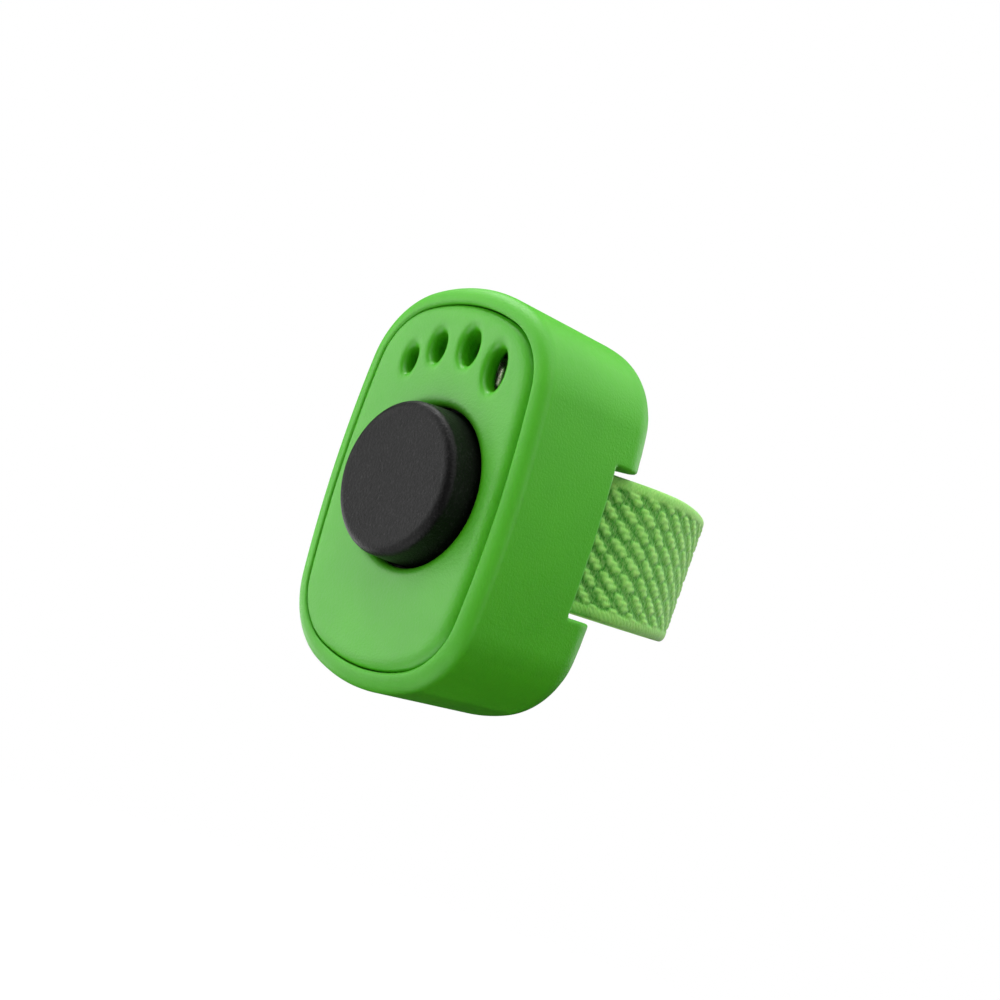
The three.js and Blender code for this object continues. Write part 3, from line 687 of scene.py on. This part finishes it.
def metal(name, base, roughness, stretch):
    """Bare or plated metal with rolling lines and faint handling marks."""
    n = Nodes(name)
    lined = n.add("ShaderNodeMapping", {"Vector": n.place, "Scale": stretch})
    lines = n.noise(3.0, 4, 0.7, lined.outputs["Vector"])
    stain = n.ramp(n.noise(0.5, 3), 0.35, 0.7, 0.0, 0.4)
    tone = colour(*(0.8 * c for c in base))
    return n.finish(
        Base_Color=n.mix(stain, colour(*base), tone),
        Metallic=1.0,
        Roughness=n.ramp(lines, 0.3, 0.7, roughness, roughness + 0.15),
        Normal=n.bump(lines, 0.01, 0.5),
    )


def thread():
    n = Nodes("green_sewing_thread")
    wave = n.add("ShaderNodeTexWave", {"Vector": n.place, "Scale": 2.2 / MM, "Distortion": 1.0})
    twist = wave.outputs["Fac"]
    return n.finish(
        # Painted shade: the base colour is darker in the grooves of the twist, keyed to the same wave as its
        # bump.
        Base_Color=n.mix(twist, colour(0.14, 0.42, 0.06), colour(0.25, 0.58, 0.12)),
        Roughness=0.8,
        Normal=n.bump(twist, 0.05, 0.8),
    )


def studio_floor():
    """Pale matt floor that fades out round its edge, so that no horizon shows."""
    n = Nodes("pale_floor")
    place = n.add("ShaderNodeSeparateXYZ", {"Vector": n.place})
    squares = [n.math("POWER", place.outputs[axis], 2.0) for axis in "XY"]
    away = n.math("SQRT", n.math("ADD", *squares))
    return n.finish(
        Base_Color=n.mix(n.noise(0.01, 2), colour(0.92, 0.92, 0.92), colour(0.95, 0.95, 0.95)),
        Roughness=0.95,
        Alpha=n.ramp(away, 0.02, 0.16, 1.0, 0.0),
    )


# ---- Pieces ----

def dress(piece, body, nodes, material):
    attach(piece, body)
    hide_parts(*nodes)
    piece.data.materials.clear()
    piece.data.materials.append(material)


def moulded_pieces(materials):
    case, panel, black = materials
    shell = field_piece("moulded_case_shell", shell_field, (-HALF_WIDTH, 0, -HALF_HEIGHT),
                        (HALF_WIDTH, DEPTH, HALF_HEIGHT), 0.28)
    dress(shell, "housing", ["case_shell"], case)
    face = field_piece("moulded_face_panel", panel_field, (-13.1, 0, -20.7), (13.1, 7, 20.7), 0.22)
    dress(face, "housing", ["face_panel"], panel)
    cap = field_piece("moulded_button", button_field, (-9.6, -3.6, -11), (9.6, 6.1, 11), 0.2)
    dress(cap, "push_button", ["button"], black)
    clamp = field_piece("moulded_clamp_bar", clamp_field, (-7.3, 7.7, -18.1), (7.3, 9.4, -12.5), 0.25)
    dress(clamp, "housing", ["plate_clamp_bar"], black)


def webbing_piece(material):
    strap, length = strap_piece()
    dress(strap, "housing", ["finger_strap"], material)


def screw_piece(name, x, z, seat, length, cell, material):
    low = (x - 1.8, seat - length, z - 1.8)
    high = (x + 1.8, seat + 1.4, z + 1.8)
    screw = field_piece("fine_" + name, screw_field(x, z, seat, length), low, high, cell)
    dress(screw, "housing", [name], material)


def pin_piece(side, word, material):
    low = (side * EYE_X - 1, EYE_Y - 1, -8.8)
    high = (side * EYE_X + 1, EYE_Y + 1, 8.8)
    pin = field_piece("fine_anchor_pin_" + word, pin_field(side), low, high, 0.16)
    dress(pin, "housing", ["strap_anchor_pin_" + word], material)


def plated_pieces(material):
    for sx, sz in CORNERS:
        name = f"case_screw_{'top' if sz > 0 else 'bottom'}_{'right' if sx > 0 else 'left'}"
        screw_piece(name, sx * SCREW_X, sz * SCREW_Z, SCREW_SEAT + FIT_GAP, CASE_SCREW_LONG, 0.09, material)
    seat = PLATE_FRONT + PLATE_THICK + CLAMP_THICK + 2 * FIT_GAP
    for side, word in ((-1, "left"), (1, "right")):
        name = "plate_screw_" + word
        screw_piece(name, side * PLATE_SCREW_X, PLATE_SCREW_Z, seat, PLATE_SCREW_LONG, 0.12, material)
        pin_piece(side, word, material)


def plate_piece(material):
    plate = field_piece("sprung_clicker_plate", plate_field, (-7.1, 3.5, -18.5), (7.1, 7.6, 16.6), 0.17)
    plate.data.materials.append(material)
    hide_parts("clicker_plate_clamped_end", "clicker_plate_tongue")
    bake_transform(plate)


def tube(name, line, radius, sides=8):
    """A round thread along a line of points, closed at both ends."""
    line = np.asarray(line, float)
    along = np.gradient(line, axis=0)
    along /= np.linalg.norm(along, axis=1)[:, None]
    first = np.cross(along, (1.0, 0.0, 0.0))
    first /= np.linalg.norm(first, axis=1)[:, None]
    second = np.cross(along, first)
    turn = np.arange(sides) * 2 * math.pi / sides
    ring = first[:, None] * np.cos(turn)[None, :, None] + second[:, None] * np.sin(turn)[None, :, None]
    points = line[:, None] + radius * ring
    ids = np.arange(len(line) * sides).reshape(-1, sides)
    nxt = np.roll(ids, -1, 1)
    quads = np.stack([ids[:-1], nxt[:-1], nxt[1:], ids[1:]], -1).reshape(-1, 4).tolist()
    return new_piece(name, points.reshape(-1, 3), quads + [list(ids[0][::-1]), list(ids[-1])])


def stitching_pieces(material):
    for side, word in ((-1, "left"), (1, "right")):
        step = np.linspace(0, 1, 400)
        z = 6.6 * (2 * step - 1)
        zigzag = 2 * np.abs(np.mod(step * 13, 1) * 2 - 1) - 1
        x = side * (9.98 + 0.08 * np.cos(step * 26 * 2 * math.pi))
        line = np.stack([x, 11.5 + 0.34 * np.sin(zigzag * math.pi / 2), z], 1)
        thread_piece = tube("zigzag_stitching_" + word, line, 0.13)
        dress(thread_piece, "housing", ["strap_stitching_" + word], material)


def make_pieces():
    case = green_plastic("satin_green_case", 0.045, 0.50)
    panel = green_plastic("satin_green_panel", 0.055, 0.38)
    moulded_pieces((case, panel, black_plastic()))
    webbing_piece(elastic_webbing())
    plated = metal("zinc_plated_steel", (0.62, 0.63, 0.65), 0.28, (1, 1, 1))
    sheet = metal("rolled_spring_steel", (0.76, 0.74, 0.60), 0.20, (6, 6, 0.4))
    plated_pieces(plated)
    plate_piece(sheet)
    stitching_pieces(thread())


# ---- Studio ----

CAMERA_PLACE = (169.4, -152.3, -9.7)
CAMERA_FORWARD = (-0.715, 0.697, 0.048)
CAMERA_UP = (-0.183, -0.253, 0.95)
CAMERA_LENS = 75.86
WORLD_LIGHT = 0.02  # how brightly the white surroundings light the object
SOFTBOX_AWAY = 0.45
FLOOR_DROP, FLOOR_RADIUS = 0.045, 0.17
# Soft lights round the object: azimuth and elevation in degrees, width in metres and power in watts.
SOFTBOXES = (
    (315, 5, 0.55, 1.72),
    (72, 60, 0.55, 1.85),
    (0, -55, 0.55, 1.80),
    (288, 60, 0.22, 1.40),
    (165, 42, 0.55, 0.95),
    (270, -20, 0.22, 0.58),
    (180, 5, 0.22, 0.40),
    (90, 5, 0.22, 0.45),
    (44, 8, 0.06, 0.022),
)


def make_camera():
    data = bpy.data.cameras.new("camera")
    data.sensor_width = 36
    data.lens = CAMERA_LENS
    camera = bpy.data.objects.new("camera", data)
    bpy.context.scene.collection.objects.link(camera)
    back = -Vector(CAMERA_FORWARD).normalized()
    right = Vector(CAMERA_UP).cross(back).normalized()
    up = back.cross(right)
    turn = Matrix((right, up, back)).transposed().to_4x4()
    camera.matrix_world = Matrix.Translation(Vector(to_frame([CAMERA_PLACE])[0])) @ turn
    data.clip_start = 0.01
    data.clip_end = 50
    bpy.context.scene.camera = camera


def softbox(azimuth, elevation, wide, power):
    """A round soft light aimed at the object. Azimuth 0 is in front of the button, 90 to the right."""
    data = bpy.data.lights.new(f"softbox_{azimuth}_{elevation}", "AREA")
    data.shape = "DISK"
    data.size = wide
    data.energy = power
    light = bpy.data.objects.new(data.name, data)
    bpy.context.scene.collection.objects.link(light)
    turn, rise = math.radians(azimuth), math.radians(elevation)
    towards = Vector((math.sin(turn) * math.cos(rise), -math.cos(turn) * math.cos(rise), math.sin(rise)))
    place = Vector(to_frame([(0, 8, 0)])[0]) + towards * SOFTBOX_AWAY
    light.matrix_world = Matrix.Translation(place) @ towards.to_track_quat("Z", "Y").to_matrix().to_4x4()


def make_studio():
    bpy.context.scene.view_settings.view_transform = "Standard"
    world = bpy.data.worlds.new("studio")
    bpy.context.scene.world = world
    world.use_nodes = True
    background = world.node_tree.nodes["Background"]
    background.inputs["Color"].default_value = (1, 1, 1, 1)
    seen = world.node_tree.nodes.new("ShaderNodeLightPath")
    level = world.node_tree.nodes.new("ShaderNodeMapRange")
    level.inputs["To Min"].default_value = WORLD_LIGHT
    level.inputs["To Max"].default_value = 1.0
    world.node_tree.links.new(seen.outputs["Is Camera Ray"], level.inputs["Value"])
    world.node_tree.links.new(level.outputs["Result"], background.inputs["Strength"])
    for azimuth, elevation, wide, power in SOFTBOXES:
        softbox(azimuth, elevation, wide, power)


def make_floor():
    mesh = bpy.data.meshes.new("floor")
    bm = bmesh.new()
    bmesh.ops.create_circle(bm, cap_ends=True, radius=FLOOR_RADIUS, segments=96)
    bm.to_mesh(mesh)
    bm.free()
    mesh.materials.append(studio_floor())
    floor = bpy.data.objects.new("floor", mesh)
    floor.location = (0, 0, case_low.z - FLOOR_DROP)
    floor.visible_diffuse = False
    floor.visible_glossy = False
    bpy.context.scene.collection.objects.link(floor)


make_pieces()
make_studio()
make_floor()
make_camera()
